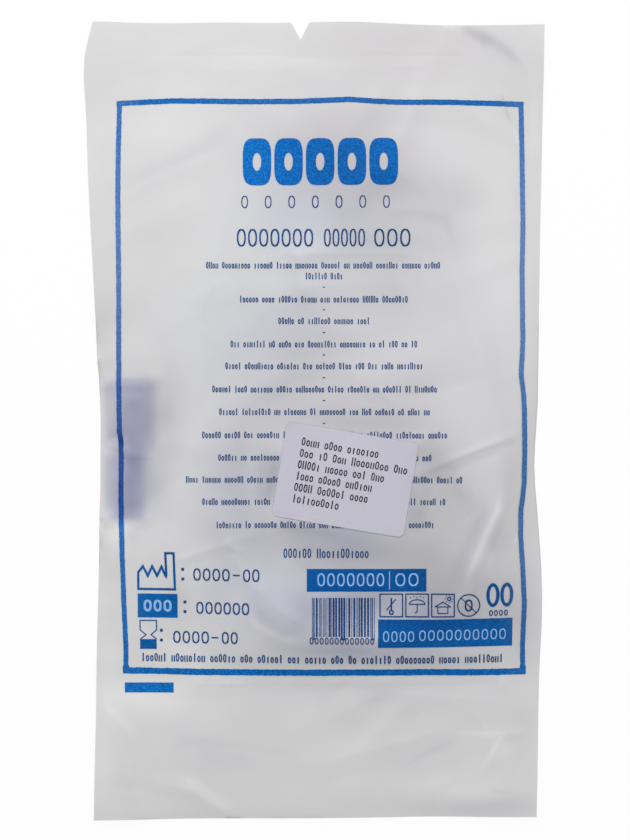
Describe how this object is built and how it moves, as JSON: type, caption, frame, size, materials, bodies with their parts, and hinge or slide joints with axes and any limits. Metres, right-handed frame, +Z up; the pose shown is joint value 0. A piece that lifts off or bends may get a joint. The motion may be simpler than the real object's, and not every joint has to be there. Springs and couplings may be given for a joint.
{
  "type": "packed urine leg bag",
  "caption": "Sealed sterile film pack, milky and see-through, holding a folded urine leg bag with its tube, tap and straps; tear notch on top and a stuck-on label.",
  "frame": {"origin": "on the surface that the pack rests on, under the middle of its outline", "axes": "+Y along the pack towards the tear notch, +X across it to the reader's right, +Z up out of the printed side"},
  "size_m": [0.171, 0.2988, 0.013],
  "materials": {
    "pack_film": "milky, see-through, soft sheen",
    "label_paper": "smooth coated paper",
    "bag_sheet": "frosted soft sheet",
    "clear_tube": "clear soft tube",
    "hard_plastic": "smooth moulded plastic",
    "slide_plastic": "smooth moulded plastic, pale blue",
    "strap_elastic": "woven elastic, dark blue",
    "button_plastic": "moulded plastic, dark blue"
  },
  "bodies": {
    "root": {"film_sleeve": "pack_film", "label": "label_paper", "bag_back_wall": "bag_sheet", "bag_front_wall": "bag_sheet", "non_return_valve": "bag_sheet", "inlet_port": "hard_plastic", "outlet_port": "hard_plastic", "inlet_tube": "clear_tube", "tube_connector": "hard_plastic", "connector_cap": "hard_plastic", "tap_body": "hard_plastic", "tap_slide": "slide_plastic", "strap_upper": "strap_elastic", "strap_lower": "strap_elastic", "strap_button_upper": "button_plastic", "strap_button_lower": "button_plastic"}
  },
  "joints": []
}
